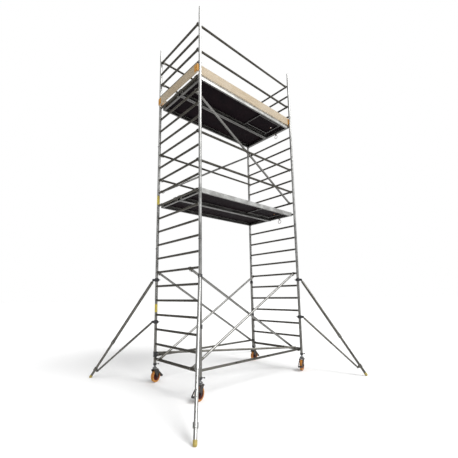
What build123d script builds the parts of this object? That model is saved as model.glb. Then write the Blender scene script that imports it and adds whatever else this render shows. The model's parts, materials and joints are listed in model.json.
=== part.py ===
from build123d import *
import os

# Mobile aluminium tower scaffold, two decks, on four braked castors with four stabilisers.
# Millimetres. Origin on the floor at the tower's centre, +X along the decks, +Y across them, +Z up.
# Corners: a (-X, +Y), b (-X, -Y), c (+X, +Y), d (+X, -Y).

# ---- ladder frames ----
TOWER_LENGTH = 2500.0
TOWER_WIDTH = 1300.0
LOWEST_RUNG_Z = 390.0
RUNG_PITCH = 250.0
RUNGS_PER_FRAME = 8
FRAME_LEVELS = ("lower", "middle", "upper")
FRAME_FOOT = 70.0
FRAME_LENGTH = RUNG_PITCH * RUNGS_PER_FRAME
UPRIGHT_R = 25.0
UPRIGHT_BORE = 22.0
RUNG_R = 19.0
RUNG_BORE = 16.5
BOTTOM_RUNG_R = 23.0
BOTTOM_RUNG_BORE = 20.0
SPIGOT_R = 21.95
SPIGOT_ROOT_R = 21.7
SPIGOT_BORE = 18.5
SPIGOT_REACH = 120.0
SPIGOT_DEPTH = 100.0
SPIGOT_CAP = 5.0
FIT = 0.05
JOINT_BAND_R = 27.0
JOINT_BAND_HEIGHT = 9.0
CLIP_PIN_R = 5.0

# ---- rungs that carry the decks and braces, counted from the lowest, which is 0 ----
DECK_RUNG = {"lower": 11, "upper": 19}
GUARD_RUNGS = {"lower": (13, 15), "upper": (21, 23)}
BRACE_LINE_Y = 590.0
OUTER_LINE_Y = 605.0
INNER_LINE_Y = 540.0

# ---- brace tubes and their claws ----
BRACE_R = 20.0
BRACE_BORE = 18.0
TUBE_SETBACK = 46.0
CLAW_SLACK = 1.3
CLAW_WALL = 7.0
CLAW_WIDTH = 36.0
CLAW_SHANK = 95.0
CLAW_PLUG_R = 17.9
HORIZONTAL_R = 19.0
HORIZONTAL_BORE = 16.5
HORIZONTAL_RISE = 53.0
PLAN_BRACE_RISE = 99.0
PLAN_CLAW_Y = -562.0
PLAN_CLAW_RISE = 30.0
COUPLER_R = 32.0
COUPLER_HEIGHT = 44.0

# ---- platforms ----
PLATFORM_WIDTH = 600.0
PLATFORM_GAP = 8.0
RAIL_WIDTH = 30.0
RAIL_TOP = 33.0
RAIL_BOTTOM = -42.0
RAIL_WALL = 2.5
LEDGE_REACH = 22.0
DECK_TOP = 30.0
DECK_THICKNESS = 12.0
PLATFORM_END_X = 1215.0
END_BEAM_DEPTH = 40.0
TRIMMER_WIDTH = 14.0
TRIMMER_DEPTH = 22.0
HATCH_LOW_X = 405.0
HATCH_HIGH_X = 1056.0
HATCH_OUTER_Y = -512.0
HATCH_INNER_Y = -120.0
LID_GAP = 3.0
LID_LEDGE = 12.0
HOOK_WIDTH = 60.0
HOOK_INNER_R = 19.6
HOOK_OUTER_R = 27.0
WIND_LOCK_Y = -270.0
WIND_LOCK_DROP = 52.0
WIND_LOCK_X = 1222.0
WIND_LOCK_RING_R = 36.0
WIND_LOCK_RING_DROP = 50.0
WIND_LOCK_WIRE_R = 4.5
WIND_LOCK_BARREL_R = 6.5
WIND_LOCK_PIN_R = 3.0
HINGE_AXIS_X = 400.0
HINGE_PIN_R = 2.5
KNUCKLE_R = 5.0
HINGE_AXIS_RISE = DECK_TOP + KNUCKLE_R + 0.3
HINGE_YS = (-430.0, -202.0)
FINGER_HOLE_R = 19.0
FINGER_HOLE_INSET = 66.0

# ---- toe boards ----
TOE_THICKNESS = 18.0
TOE_HEIGHT = 165.0
TOE_BASE = 32.0
SIDE_TOE_Y = 617.0
END_TOE_X = 1289.0
TOE_CLIP_HEIGHT = 125.0

# ---- castors ----
WHEEL_R = 100.0
WHEEL_WIDTH = 50.0
HUB_R = 74.0
AXLE_R = 8.0
TRAIL = 24.0
FORK_GAP = 29.5
FORK_PLATE = 6.0
CROWN_Z = 212.0
CROWN_THICKNESS = 10.0
BEARING_TOP = 244.0
SHOULDER_R = 12.0
SHOULDER_OFFSET = 36.0
PEDAL_PIVOT_U = 57.0
PEDAL_PIVOT_Z = 178.0
PEDAL_PIN_R = 4.0
PEDAL_HALF_WIDTH = 42.0
SPINDLE_R = 17.0
SPINDLE_TOP = 650.0
CASTOR_HEADING = {"a": 20.0, "b": 200.0, "c": 6.0, "d": 201.0}
NUT_LEVER_HEADING = -35.0

# ---- stabilisers ----
STABILISER_HEADING = {"a": 121.9, "b": -129.5, "c": 41.5, "d": -68.0}
PIVOT_REACH = 62.0
LEG_PIVOT_Z = 1755.0
STRUT_PIVOT_Z = 1015.0
FOOT_REACH = {"a": 1310.0, "b": 1325.0, "c": 1140.0, "d": 1140.0}
FOOT_BALL_R = 24.0
FOOT_BALL_Z = 20.0
INNER_LEG_SHOWN = 750.0
INNER_LEG_HIDDEN = 500.0
INNER_STRUT_SHOWN = 585.0
COLLAR_FROM_FOOT = 168.0
COLLAR_HALF = 26.0
COLLAR_DROP = 52.0
LEG_R = 25.0
LEG_BORE = 21.08
INNER_LEG_R = 21.0
INNER_LEG_BORE = 18.0
STRUT_R = 19.0
STRUT_BORE = 16.1
INNER_STRUT_R = 16.0
CLAMP_BORE = 25.08
CLAMP_R = 34.0
CLAMP_HEIGHT = 60.0
LUG_INNER = 7.5
LUG_PLATE = 6.0
PIVOT_PIN_R = 8.0

CORNERS = {
    "a": (-TOWER_LENGTH / 2, TOWER_WIDTH / 2),
    "b": (-TOWER_LENGTH / 2, -TOWER_WIDTH / 2),
    "c": (TOWER_LENGTH / 2, TOWER_WIDTH / 2),
    "d": (TOWER_LENGTH / 2, -TOWER_WIDTH / 2),
}
ENDS = {"frame_1": -TOWER_LENGTH / 2, "frame_2": TOWER_LENGTH / 2}
FRAME_BASE_Z = LOWEST_RUNG_Z - FRAME_FOOT


def save(name, shapes):
    """Writes the solids of one node."""
    solids = [solid for shape in shapes for solid in shape.solids()]
    export_step(Compound(solids), f"parts/{name}.step")


def tube(start, end, radius, bore=0.0):
    """A round bar, or a tube where a bore is given, between two points."""
    axis = Vector(*end) - Vector(*start)
    section = Circle(radius)
    if bore:
        section = section - Circle(bore)
    return extrude(Plane(origin=start, z_dir=axis) * section, amount=axis.length)


def block(low, high):
    """A box between two opposite corners."""
    size = [b - a for a, b in zip(low, high)]
    return Pos(*low) * Box(*size, align=(Align.MIN, Align.MIN, Align.MIN))


def plate(outline, y_low, y_high):
    """A flat plate across Y, from an outline in X and Z."""
    face = Plane.XZ * make_face(Polyline(outline, close=True))
    return Pos(0, y_high, 0) * extrude(face, amount=y_high - y_low)


def rung_z(index):
    """Height of a rung's centre, counted from the lowest."""
    return LOWEST_RUNG_Z + index * RUNG_PITCH


def at_corner(corner, heading, shape):
    """Turns a shape made about the Z axis to its heading and moves it to a corner."""
    x, y = CORNERS[corner]
    return Pos(x, y, 0) * Rot(0, 0, heading) * shape


# ---------------------------------------------------------------- ladder frames
def rung(radius, bore):
    """A rung along Y, coped at both ends to sit against the uprights."""
    half = TOWER_WIDTH / 2
    bar = tube((0, -half, 0), (0, half, 0), radius, bore)
    for side in (-half, half):
        bar -= Pos(0, side, 0) * Cylinder(UPRIGHT_R, 4 * radius)
    return max(bar.solids(), key=lambda solid: solid.volume)


def ladder_frame(x, base_z, bottom_rung):
    """Two uprights and eight rungs."""
    pieces = []
    for side in (-1, 1):
        y = side * TOWER_WIDTH / 2
        pieces.append(tube((x, y, base_z), (x, y, base_z + FRAME_LENGTH), UPRIGHT_R, UPRIGHT_BORE))
    common = rung(RUNG_R, RUNG_BORE)
    for index in range(RUNGS_PER_FRAME):
        shape = bottom_rung if index == 0 and bottom_rung else common
        pieces.append(Pos(x, 0, base_z + FRAME_FOOT + index * RUNG_PITCH) * shape)
    return pieces


def spigot(x, y, joint_z):
    """The sleeve inside an upright that the next frame drops over, closed at its top."""
    bottom = joint_z - SPIGOT_DEPTH
    top = joint_z + SPIGOT_REACH
    body = tube((x, y, bottom), (x, y, joint_z), SPIGOT_ROOT_R)
    body += tube((x, y, joint_z), (x, y, top), SPIGOT_R)
    body -= tube((x, y, bottom), (x, y, top - SPIGOT_CAP), SPIGOT_BORE)
    return chamfer(body.edges().group_by(Axis.Z)[-1], 2.0)


def joint_band(corner, joint_z):
    """Interlock clip round a frame joint, with its button facing out."""
    band = Cylinder(JOINT_BAND_R, JOINT_BAND_HEIGHT) - Cylinder(UPRIGHT_R + FIT, JOINT_BAND_HEIGHT)
    outward = 1 if corner in ("c", "d") else -1
    stub = tube((outward * (UPRIGHT_R + 1), 0, 0), (outward * (JOINT_BAND_R + 8), 0, 0), CLIP_PIN_R - 1)
    button = tube((outward * (JOINT_BAND_R + 5), 0, 0), (outward * (JOINT_BAND_R + 9), 0, 0), CLIP_PIN_R + 3)
    x, y = CORNERS[corner]
    return Pos(x, y, joint_z + JOINT_BAND_HEIGHT / 2) * (band + stub + button)


def make_frames():
    """Six ladder frames, three on each end, with their spigots and clips."""
    base_rung = rung(BOTTOM_RUNG_R, BOTTOM_RUNG_BORE)
    for name, x in ENDS.items():
        for count, level in enumerate(FRAME_LEVELS):
            base_z = FRAME_BASE_Z + count * FRAME_LENGTH
            bottom = base_rung if count == 0 else None
            save(f"{name}_{level}", ladder_frame(x, base_z, bottom))
    joints = [FRAME_BASE_Z + (count + 1) * FRAME_LENGTH for count in range(len(FRAME_LEVELS))]
    save("frame_spigots", [spigot(x, y, z) for x, y in CORNERS.values() for z in joints])
    save("frame_lock_clips", [joint_band(corner, z) for corner in CORNERS for z in joints[:-1]])


# ---------------------------------------------------------------- braces
def claw_hook(jaw):
    """A hook over a rung lying along Y, with a shank towards +X. jaw is its inner radius."""
    outer = jaw + CLAW_WALL
    ring = Cylinder(outer, CLAW_WIDTH) - Cylinder(jaw, CLAW_WIDTH)
    mouth = Pos(-14, -outer, 0) * Box(2 * jaw, 2 * outer, CLAW_WIDTH)
    hook = Rot(90, 0, 0) * (ring - mouth)
    shank = block((jaw + 3, -CLAW_WIDTH / 2, -16), (TUBE_SETBACK - 1, CLAW_WIDTH / 2, 18))
    shank -= tube((0, -CLAW_WIDTH, 0), (0, CLAW_WIDTH, 0), jaw)
    return hook + shank


def claw(rung_radius):
    """A hook with a plug along +X that fits a brace tube."""
    plug = tube((TUBE_SETBACK - 4, 0, 0), (CLAW_SHANK, 0, 0), CLAW_PLUG_R)
    return claw_hook(rung_radius + CLAW_SLACK) + plug


def claw_trigger():
    """The spring trigger below a claw's mouth."""
    outline = [(12, -31), (26, -30), (40, -21.5), (58, -25), (60, -31), (42, -28), (28, -37), (10, -38)]
    return plate(outline, -8, 8)


def brace(start, end):
    """A tube with a claw and trigger at each end, between two rung centres."""
    direction = (Vector(*end) - Vector(*start)).normalized()
    first = Vector(*start) + direction * TUBE_SETBACK
    last = Vector(*end) - direction * TUBE_SETBACK
    pipe = tube(tuple(first), tuple(last), BRACE_R, BRACE_BORE)
    fittings = []
    for origin, inward in ((start, direction), (end, -direction)):
        across = Vector(0, 1 if inward.X > 0 else -1, 0)
        seat = Location(Plane(origin=origin, x_dir=inward, z_dir=inward.cross(across)))
        lowest = abs(origin[2] - LOWEST_RUNG_Z) < RUNG_PITCH / 2
        fittings.append(seat * claw(BOTTOM_RUNG_R if lowest else RUNG_R))
        fittings.append(seat * claw_trigger())
    return pipe, fittings


def half_length_points(y_left, z_left, y_right, z_right):
    """End points of a brace from frame 1 to frame 2."""
    half = TOWER_LENGTH / 2
    return (-half, y_left, z_left), (half, y_right, z_right)


def make_braces():
    """Guardrails, diagonals and all their claws."""
    fittings = []
    for level, rungs in GUARD_RUNGS.items():
        rails = []
        for side in (-1, 1):
            for index in rungs:
                y = side * BRACE_LINE_Y
                pipe, ends = brace(*half_length_points(y, rung_z(index), y, rung_z(index)))
                rails.append(pipe)
                fittings += ends
        save(f"guardrails_{level}", rails)
    lower_lines = [
        (-430.0, rung_z(0), -550.0, rung_z(6)),
        (-385.0, rung_z(6), -475.0, rung_z(0)),
        (OUTER_LINE_Y, rung_z(6), OUTER_LINE_Y, rung_z(0)),
        (512.0, rung_z(0), 594.0, rung_z(6)),
    ]
    upper_lines = [
        (-INNER_LINE_Y, rung_z(18), -INNER_LINE_Y, rung_z(12)),
        (INNER_LINE_Y, rung_z(12), INNER_LINE_Y, rung_z(18)),
    ]
    for level, lines in (("lower", lower_lines), ("upper", upper_lines)):
        pipes = []
        for line in lines:
            pipe, ends = brace(*half_length_points(*line))
            pipes.append(pipe)
            fittings += ends
        save(f"diagonals_{level}", pipes)
    save("brace_claws", fittings + make_horizontals())


def upright_coupler(heading, fall=0.0):
    """A clamp ring about the Z axis, its plug falling towards +X, and a wing bolt at its back."""
    ring = Cylinder(COUPLER_R, COUPLER_HEIGHT)
    near = COUPLER_R - 8
    far = COUPLER_R + 60
    plug = tube((near, 0, -near * fall), (far, 0, -far * fall), HORIZONTAL_BORE - 0.1)
    shoulder = block((COUPLER_R - 12, -17, -17), (COUPLER_R + 12, 17, 17))
    boss = block((-12, -COUPLER_R - 10, -14), (12, -COUPLER_R + 8, 14))
    body = ring + plug + shoulder + boss - Cylinder(UPRIGHT_R + FIT, 2 * COUPLER_HEIGHT)
    bolt = tube((0, -COUPLER_R - 10, 0), (0, -COUPLER_R - 26, 0), 5)
    wings = block((-16, -COUPLER_R - 24, -4), (16, -COUPLER_R - 17, 4))
    return [Rot(0, 0, heading) * body, Rot(0, 0, heading) * (bolt + wings)]


def skew_claw(rung_point, tube_end, direction):
    """A claw on the lowest rung of frame 2, whose plug runs into a tube that leaves at an angle above it."""
    jaw = BOTTOM_RUNG_R + CLAW_SLACK
    seat = Location(Plane(origin=rung_point, x_dir=(-1, 0, 0), z_dir=(0, 0, 1)))
    plug = tube(tuple(tube_end + direction * 30), tuple(tube_end - direction * 50), HORIZONTAL_BORE - 0.1)
    half = Vector(0, CLAW_WIDTH, 0)
    return seat * claw_hook(jaw) + plug - tube(tuple(rung_point - half), tuple(rung_point + half), jaw)


def make_horizontals():
    """The two horizontals and the plan diagonal at the base. Returns the claws of those hooked on rungs."""
    z = rung_z(0)
    hooked, claws = brace(*half_length_points(-OUTER_LINE_Y, z, -OUTER_LINE_Y, z))
    setback = COUPLER_R + 12
    rise = Vector(0, 0, z + HORIZONTAL_RISE)
    start = Vector(*CORNERS["a"]) + rise
    end = Vector(*CORNERS["c"]) + rise
    clamped = tube((start.X + setback, start.Y, start.Z), (end.X - setback, end.Y, end.Z),
                   HORIZONTAL_R, HORIZONTAL_BORE)
    couplers = [Pos(*start) * piece for piece in upright_coupler(0)]
    couplers += [Pos(*end) * piece for piece in upright_coupler(180)]
    high = Vector(*CORNERS["a"]) + Vector(0, 0, z + PLAN_BRACE_RISE)
    rung_point = Vector(TOWER_LENGTH / 2, PLAN_CLAW_Y, z)
    direction = (rung_point + Vector(0, 0, PLAN_CLAW_RISE) - high).normalized()
    low_end = rung_point + Vector(0, 0, PLAN_CLAW_RISE) - direction * 70
    plan_start = high + direction * (setback + 3)
    plan = tube(tuple(plan_start), tuple(low_end), HORIZONTAL_R, HORIZONTAL_BORE)
    flat = Vector(direction.X, direction.Y, 0)
    heading = Vector(1, 0, 0).get_signed_angle(flat, Vector(0, 0, 1))
    couplers += [Pos(*high) * piece for piece in upright_coupler(heading, -direction.Z / flat.length)]
    save("horizontal_braces", [hooked, clamped, plan])
    save("brace_couplers", couplers)
    return claws + [skew_claw(rung_point, low_end, direction)]


# ---------------------------------------------------------------- platforms
def rail(y, inward, z):
    """A hollow side rail with a ledge for the board. inward is the side its ledge is on."""
    outer = block((-PLATFORM_END_X, -RAIL_WIDTH / 2, RAIL_BOTTOM), (PLATFORM_END_X, RAIL_WIDTH / 2, RAIL_TOP))
    hollow = block(
        (-PLATFORM_END_X, -RAIL_WIDTH / 2 + RAIL_WALL, RAIL_BOTTOM + RAIL_WALL),
        (PLATFORM_END_X, RAIL_WIDTH / 2 - RAIL_WALL, RAIL_TOP - RAIL_WALL),
    )
    edges = sorted((inward * RAIL_WIDTH / 2, inward * (RAIL_WIDTH / 2 + LEDGE_REACH)))
    ledge_top = DECK_TOP - DECK_THICKNESS
    ledge = block((-PLATFORM_END_X, edges[0], ledge_top - 3), (PLATFORM_END_X, edges[1], ledge_top))
    return Pos(0, y, z) * (outer - hollow + ledge)


def box_beam(low, high, wall=2.5):
    """A hollow rectangular beam along Y."""
    beam = block(low, high)
    return beam - block((low[0] + wall, low[1], low[2] + wall), (high[0] - wall, high[1], high[2] - wall))


def platform_edges(side):
    """Inner faces of a platform's rails, low then high. side is -1 for the hatch platform."""
    low = PLATFORM_GAP / 2 if side > 0 else -PLATFORM_GAP / 2 - PLATFORM_WIDTH
    return low + RAIL_WIDTH, low + PLATFORM_WIDTH - RAIL_WIDTH


def platform_frame(side, z):
    """Rails and end beams of one platform, with trimmers where it has a hatch."""
    low, high = platform_edges(side)
    under = DECK_TOP - DECK_THICKNESS
    pieces = [rail(low - RAIL_WIDTH / 2, 1, z), rail(high + RAIL_WIDTH / 2, -1, z)]
    for end in (-1, 1):
        near, far = sorted((end * (PLATFORM_END_X - END_BEAM_DEPTH), end * PLATFORM_END_X))
        pieces.append(box_beam((near, low, z + RAIL_BOTTOM + 4), (far, high, z + under - 3)))
    if side < 0:
        pieces += hatch_trimmers(low, high, z)
    return pieces


def hatch_trimmers(low, high, z):
    """Slim bars round the hatch opening, which the lid rests on."""
    top = z + DECK_TOP - DECK_THICKNESS - 0.3
    bottom = top - TRIMMER_DEPTH
    hinge_x = HATCH_LOW_X + LID_LEDGE
    free_x = HATCH_HIGH_X - LID_LEDGE
    inner_y = HATCH_INNER_Y - LID_LEDGE
    outer_y = HATCH_OUTER_Y + LID_LEDGE
    near = low + LEDGE_REACH
    far = high - LEDGE_REACH
    hinge_bar = block((hinge_x - TRIMMER_WIDTH, near, bottom), (hinge_x, far, top))
    free_bar = block((free_x, near, bottom), (free_x + TRIMMER_WIDTH, far, top))
    long_bar = block((hinge_x, inner_y, bottom), (free_x, inner_y + TRIMMER_WIDTH, top))
    outer_bar = block((hinge_x, outer_y - TRIMMER_WIDTH, bottom), (free_x, outer_y, top))
    return [hinge_bar, free_bar, long_bar, outer_bar]


def deck_board(side, z):
    """The plywood panel that lies on the rails' ledges."""
    low, high = platform_edges(side)
    end = PLATFORM_END_X - 2
    bottom = z + DECK_TOP - DECK_THICKNESS
    panel = block((-end, low + 0.5, bottom), (end, high - 0.5, z + DECK_TOP))
    if side < 0:
        panel -= block((HATCH_LOW_X, HATCH_OUTER_Y, bottom), (HATCH_HIGH_X, HATCH_INNER_Y, z + DECK_TOP))
    return [panel]


def hatch_lid(z):
    """The lid with a finger hole, its edge strip and its hinge leaves."""
    low = (HATCH_LOW_X + LID_GAP, HATCH_OUTER_Y + LID_GAP, z + DECK_TOP - DECK_THICKNESS)
    high = (HATCH_HIGH_X - LID_GAP, HATCH_INNER_Y - LID_GAP, z + DECK_TOP)
    panel = block(low, high)
    middle_y = (HATCH_OUTER_Y + HATCH_INNER_Y) / 2
    panel -= Pos(HATCH_HIGH_X - FINGER_HOLE_INSET, middle_y, z) * Cylinder(FINGER_HOLE_R, 200)
    pieces = [panel]
    deck = z + DECK_TOP
    axis_z = z + HINGE_AXIS_RISE
    for y in HINGE_YS:
        leaf = block((HINGE_AXIS_X + 8, y - 30, deck), (HINGE_AXIS_X + 52, y + 30, deck + 2.5))
        bridge = block((HINGE_AXIS_X, y - 11, deck + 0.4), (HINGE_AXIS_X + 12, y + 11, deck + 2.5))
        knuckle = tube((HINGE_AXIS_X, y - 11, axis_z), (HINGE_AXIS_X, y + 11, axis_z), KNUCKLE_R)
        hole = tube((HINGE_AXIS_X, y - 40, axis_z), (HINGE_AXIS_X, y + 40, axis_z), HINGE_PIN_R + FIT)
        pieces.append(leaf + bridge + knuckle - hole)
    return pieces


def hatch_hinges(z):
    """Fixed leaves and pins of a lid's hinges."""
    pieces = []
    deck = z + DECK_TOP
    axis_z = z + HINGE_AXIS_RISE
    for y in HINGE_YS:
        leaf = block((HINGE_AXIS_X - 50, y - 30, deck), (HINGE_AXIS_X - 7, y + 30, deck + 2.5))
        for side in (-1, 1):
            near, far = sorted((y + side * 12, y + side * 24))
            leaf += block((HINGE_AXIS_X - 10, near, deck), (HINGE_AXIS_X, far, deck + 2.5))
            leaf += tube((HINGE_AXIS_X, near, axis_z), (HINGE_AXIS_X, far, axis_z), KNUCKLE_R)
        pin = tube((HINGE_AXIS_X, y - 25, axis_z), (HINGE_AXIS_X, y + 25, axis_z), HINGE_PIN_R)
        pieces.append(leaf + pin)
    return pieces


def platform_hook(end, y, z):
    """A hook from an end beam over the rung."""
    ring = Cylinder(HOOK_OUTER_R, HOOK_WIDTH) - Cylinder(HOOK_INNER_R, HOOK_WIDTH)
    lower_half = Pos(0, -HOOK_OUTER_R - 4, 0) * Box(4 * HOOK_OUTER_R, 2 * HOOK_OUTER_R, 2 * HOOK_WIDTH)
    cap = Rot(90, 0, 0) * (ring - lower_half)
    cap = Pos(end * TOWER_LENGTH / 2, y, z) * cap
    inner = TOWER_LENGTH / 2 - HOOK_INNER_R - 4
    near, far = sorted((end * PLATFORM_END_X, end * inner))
    return cap + block((near, y - HOOK_WIDTH / 2, z - 30), (far, y + HOOK_WIDTH / 2, z + 14))


def wind_lock_bracket(z):
    """Two ears under the end beam that the wind lock's barrel turns between."""
    pivot_z = z - WIND_LOCK_DROP
    pieces = []
    for side in (-1, 1):
        near, far = sorted((WIND_LOCK_Y + side * 12.5, WIND_LOCK_Y + side * 16.5))
        ear = block((PLATFORM_END_X, near, pivot_z - 8), (PLATFORM_END_X + 14, far, z - 12))
        pieces.append(ear)
    pin_ends = [(WIND_LOCK_X, WIND_LOCK_Y + reach, pivot_z) for reach in (-18, 18)]
    pin = tube(*pin_ends, WIND_LOCK_PIN_R)
    back_low = (PLATFORM_END_X, WIND_LOCK_Y - 16.5, z - 34)
    back = block(back_low, (PLATFORM_END_X + 4, WIND_LOCK_Y + 16.5, z - 12))
    return [pieces[0] + pieces[1] + pin + back]


def wind_lock(z):
    """A wire ring on a barrel, hanging from its bracket."""
    pivot_z = z - WIND_LOCK_DROP
    barrel = tube((0, -12, 0), (0, 12, 0), WIND_LOCK_BARREL_R)
    ring = Pos(0, 0, -WIND_LOCK_RING_DROP) * Rot(0, 90, 0) * Torus(WIND_LOCK_RING_R, WIND_LOCK_WIRE_R)
    stem = block((-4, -6, -15), (4, 6, -2))
    hole = tube((0, -30, 0), (0, 30, 0), WIND_LOCK_PIN_R + FIT)
    return [Pos(WIND_LOCK_X, WIND_LOCK_Y, pivot_z) * (barrel + stem + ring - hole)]


def make_platforms():
    """Two platforms a level, side by side, the -Y one with a hatch."""
    hooks = []
    hinges = []
    for level, index in DECK_RUNG.items():
        z = rung_z(index)
        for side, kind in ((-1, "hatch"), (1, "plain")):
            extra = wind_lock_bracket(z) if side < 0 else []
            save(f"{level}_{kind}_platform_frame", platform_frame(side, z) + extra)
            save(f"{level}_{kind}_platform_deck", deck_board(side, z))
            low, high = platform_edges(side)
            for y in (low + 32, high - 32):
                hooks += [platform_hook(end, y, z) for end in (-1, 1)]
        save(f"{level}_hatch_lid", hatch_lid(z))
        save(f"{level}_wind_lock", wind_lock(z))
        hinges += hatch_hinges(z)
    save("platform_hooks", hooks)
    save("hatch_hinges", hinges)


# ---------------------------------------------------------------- toe boards
def toe_clip(x_side, y_side, z):
    """A plastic clip against the inner side of an upright that holds the ends of a side and an end board."""
    half = TOE_CLIP_HEIGHT / 2
    x_in = PLATFORM_END_X - TOWER_LENGTH / 2 - 14
    side_y = SIDE_TOE_Y - TOWER_WIDTH / 2
    end_x = END_TOE_X - TOWER_LENGTH / 2
    jaw = TOE_THICKNESS / 2 + 3.8
    saddle = Cylinder(UPRIGHT_R + 5, TOE_CLIP_HEIGHT)
    saddle -= Pos(0, TOWER_WIDTH / 2 - 8, 0) * Box(TOWER_WIDTH, TOWER_WIDTH, TOE_CLIP_HEIGHT)
    side_jaw = block((x_in, side_y - jaw, -half), (-8, side_y + jaw, half))
    end_jaw = block((end_x - jaw, -95, -half), (end_x + jaw, -8, half))
    body = saddle
    for part in (side_jaw, end_jaw):
        body += fillet(part.edges().filter_by(Axis.Z), 3)
    slack = TOE_THICKNESS / 2 + 0.2
    body -= block((x_in - 1, side_y - slack, -half), (x_in + 18, side_y + slack, half))
    body -= block((end_x - slack, -96, -half), (end_x + slack, -20, half))
    body -= Cylinder(UPRIGHT_R + 0.15, 2 * TOE_CLIP_HEIGHT)
    solid = max(body.solids(), key=lambda piece: piece.volume)
    if x_side < 0:
        solid = solid.mirror(Plane.YZ)
    if y_side < 0:
        solid = solid.mirror(Plane.XZ)
    return Pos(x_side * TOWER_LENGTH / 2, y_side * TOWER_WIDTH / 2, z + TOE_BASE + TOE_HEIGHT / 2) * solid


def make_toe_boards():
    """Boards round the upper deck and the four corner clips."""
    z = rung_z(DECK_RUNG["upper"])
    low_z = z + TOE_BASE
    high_z = low_z + TOE_HEIGHT
    boards = []
    clips = []
    for side in (-1, 1):
        faces = (side * (SIDE_TOE_Y - TOE_THICKNESS / 2), side * (SIDE_TOE_Y + TOE_THICKNESS / 2))
        near, far = sorted(faces)
        boards.append(block((-PLATFORM_END_X, near, low_z), (PLATFORM_END_X, far, high_z)))
        near, far = sorted((side * (END_TOE_X - TOE_THICKNESS / 2), side * (END_TOE_X + TOE_THICKNESS / 2)))
        boards.append(block((near, -TOWER_WIDTH / 2 + 22, low_z), (far, TOWER_WIDTH / 2 - 22, high_z)))
        clips += [toe_clip(side, y_side, z) for y_side in (-1, 1)]
    save("toe_boards", [fillet(board.edges().filter_by(Axis.Z), 2.0) for board in boards])
    save("toe_board_clips", clips)


# ---------------------------------------------------------------- castors
def castor_spindle():
    """Height spindle with its flange and kingpin."""
    rod = tube((0, 0, BEARING_TOP + 8), (0, 0, SPINDLE_TOP), SPINDLE_R)
    flange = tube((0, 0, BEARING_TOP + 0.3), (0, 0, BEARING_TOP + 10), 31)
    kingpin = tube((0, 0, CROWN_Z - 6), (0, 0, BEARING_TOP + 2), 10)
    rivet = tube((0, 0, CROWN_Z - 6.5), (0, 0, CROWN_Z - 0.4), 15)
    return [rod + flange + kingpin + rivet]


def adjusting_nut():
    """The nut under an upright that sets the spindle's height, with one lever and its knob."""
    low = FRAME_BASE_Z - 36
    lever_z = FRAME_BASE_Z - 15
    body = tube((0, 0, low), (0, 0, FRAME_BASE_Z), 29)
    body += tube((20, 0, lever_z), (56, 0, lever_z), 6)
    body += Pos(60, 0, lever_z) * Sphere(11)
    return body - tube((0, 0, low - 1), (0, 0, FRAME_BASE_Z + 1), SPINDLE_R + FIT)


def fork_side(y_low, y_high):
    """A side plate of the fork, tapering from the crown to the axle."""
    upper = [(-38, CROWN_Z + CROWN_THICKNESS), (52, CROWN_Z + CROWN_THICKNESS)]
    waist = [(76, 186), (68, 160), (TRAIL + 21, 104), (TRAIL - 21, 104), (-36, 186)]
    sheet = plate(upper + waist, y_low, y_high)
    boss = tube((TRAIL, y_low, WHEEL_R), (TRAIL, y_high, WHEEL_R), 22)
    return sheet + boss


def fork_shoulder(y):
    """A rounded shoulder along one side of the crown."""
    z = CROWN_Z - 7
    roll = tube((-34, y, z), (44, y, z), SHOULDER_R)
    return roll + Pos(-34, y, z) * Sphere(SHOULDER_R) + Pos(44, y, z) * Sphere(SHOULDER_R)


def castor_fork():
    """Fork with side plates, rounded shoulders, crown and bearing cup, and its axle bolt and pedal pins."""
    outer = FORK_GAP + FORK_PLATE
    body = fork_side(-outer, -FORK_GAP) + fork_side(FORK_GAP, outer)
    body += fork_shoulder(-SHOULDER_OFFSET) + fork_shoulder(SHOULDER_OFFSET)
    body += block((-38, -outer, CROWN_Z), (50, outer, CROWN_Z + CROWN_THICKNESS))
    body += tube((0, 0, CROWN_Z + 2), (0, 0, BEARING_TOP), 36)
    body -= tube((0, 0, CROWN_Z - 4), (0, 0, BEARING_TOP + 4), 10.08)
    bolt_end = outer + 7
    axle = tube((TRAIL, -bolt_end, WHEEL_R), (TRAIL, bolt_end, WHEEL_R), AXLE_R)
    head = extrude(Plane.XZ * RegularPolygon(13, 6), amount=7)
    axle += Pos(TRAIL, -outer, WHEEL_R) * head
    axle += Pos(TRAIL, outer + 7, WHEEL_R) * head
    body -= tube((TRAIL, -bolt_end, WHEEL_R), (TRAIL, bolt_end, WHEEL_R), AXLE_R + FIT)
    far = PEDAL_HALF_WIDTH + 2
    pins = []
    for side in (-1, 1):
        inner = (PEDAL_PIVOT_U, side * FORK_GAP, PEDAL_PIVOT_Z)
        pins.append(tube(inner, (PEDAL_PIVOT_U, side * far, PEDAL_PIVOT_Z), PEDAL_PIN_R))
    pin_ends = [(PEDAL_PIVOT_U, end, PEDAL_PIVOT_Z) for end in (-far, far)]
    body -= tube(*pin_ends, PEDAL_PIN_R + FIT)
    return [body, axle, *pins]


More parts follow.
